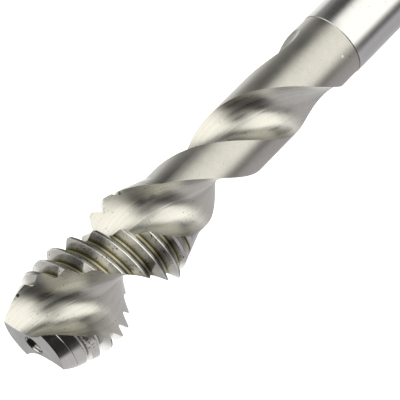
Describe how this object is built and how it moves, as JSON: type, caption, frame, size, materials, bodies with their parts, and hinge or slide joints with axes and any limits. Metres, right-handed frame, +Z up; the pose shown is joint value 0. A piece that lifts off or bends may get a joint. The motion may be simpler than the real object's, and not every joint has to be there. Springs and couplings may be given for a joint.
{
  "type": "spiral flute tap",
  "caption": "Slim round cutting tool with a threaded, chamfered tip, two deep right-hand spiral flutes, a plain neck, and a round shank with a squared drive end.",
  "frame": {"origin": "centre of the squared end of the shank, on the surface that the tap stands on", "axes": "+Z up along the tool's axis towards the cutting tip; +X towards a cutting edge at the tip face and square to a drive flat"},
  "size_m": [0.01, 0.01, 0.075],
  "materials": {
    "steel": "ground steel: satin neck and flutes, polished shank"
  },
  "bodies": {
    "root": {"spiral_flute_tap": "steel"}
  },
  "joints": []
}
